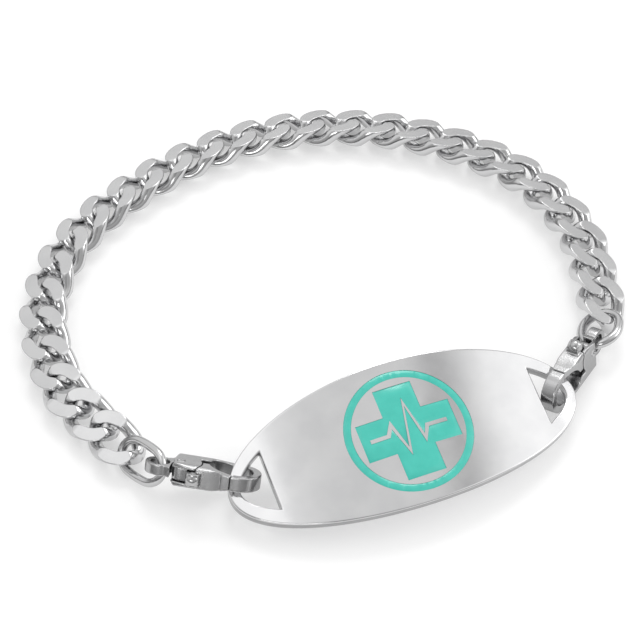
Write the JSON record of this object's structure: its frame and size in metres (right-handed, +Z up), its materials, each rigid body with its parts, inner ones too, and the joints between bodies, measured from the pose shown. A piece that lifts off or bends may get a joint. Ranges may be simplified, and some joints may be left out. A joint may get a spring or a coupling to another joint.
{
  "type": "medical alert bracelet",
  "caption": "Closed curb-chain bracelet with an oval slotted identity tag, teal enamel ring and cross, and a lobster clasp at each end.",
  "frame": {"origin": "centre of the bounding box, on the table", "axes": "+Z up from the table, +Y from the tag to the far side of the loop, +X to the right of the tag as worn text would read"},
  "size_m": [0.0695, 0.0622, 0.008],
  "materials": {
    "tag_steel": "mirror-polished front and edge, brushed lengthwise on the back",
    "enamel": "glossy teal enamel",
    "clasp_steel": "polished cast stainless steel",
    "chain_steel": "polished stainless steel wire with satin filed faces"
  },
  "bodies": {
    "bracelet": {"tag": "tag_steel", "enamel_ring": "enamel", "enamel_cross": "enamel", "clasp_left": "clasp_steel", "pin_left": "clasp_steel", "clasp_right": "clasp_steel", "pin_right": "clasp_steel", "ring_left": "chain_steel", "ring_right": "chain_steel", "link_01": "chain_steel", "link_02": "chain_steel", "link_03": "chain_steel", "link_04": "chain_steel", "link_05": "chain_steel", "link_06": "chain_steel", "link_07": "chain_steel", "link_08": "chain_steel", "link_09": "chain_steel", "link_10": "chain_steel", "link_11": "chain_steel", "link_12": "chain_steel", "link_13": "chain_steel", "link_14": "chain_steel", "link_15": "chain_steel", "link_16": "chain_steel", "link_17": "chain_steel", "link_18": "chain_steel", "link_19": "chain_steel", "link_20": "chain_steel", "link_21": "chain_steel", "link_22": "chain_steel", "link_23": "chain_steel", "link_24": "chain_steel", "link_25": "chain_steel", "link_26": "chain_steel", "link_27": "chain_steel", "link_28": "chain_steel"},
    "gate_left": {"lever_left": "clasp_steel"},
    "gate_right": {"lever_right": "clasp_steel"}
  },
  "joints": [
    {"name": "lever_left_swing", "type": "hinge", "parent": "bracelet", "child": "gate_left", "pos_m": [-0.01523, -0.02499, 0.00419], "axis": [0.1307, 0.5918, 0.7954], "range_deg": [0, 4], "stiffness_Nm_per_rad": 0.01, "springref_deg": -20.05},
    {"name": "lever_right_swing", "type": "hinge", "parent": "bracelet", "child": "gate_right", "pos_m": [0.02921, -0.00776, 0.00349], "axis": [0.8312, -0.5241, 0.1857], "range_deg": [0, 3], "stiffness_Nm_per_rad": 0.01, "springref_deg": -20.05}
  ]
}
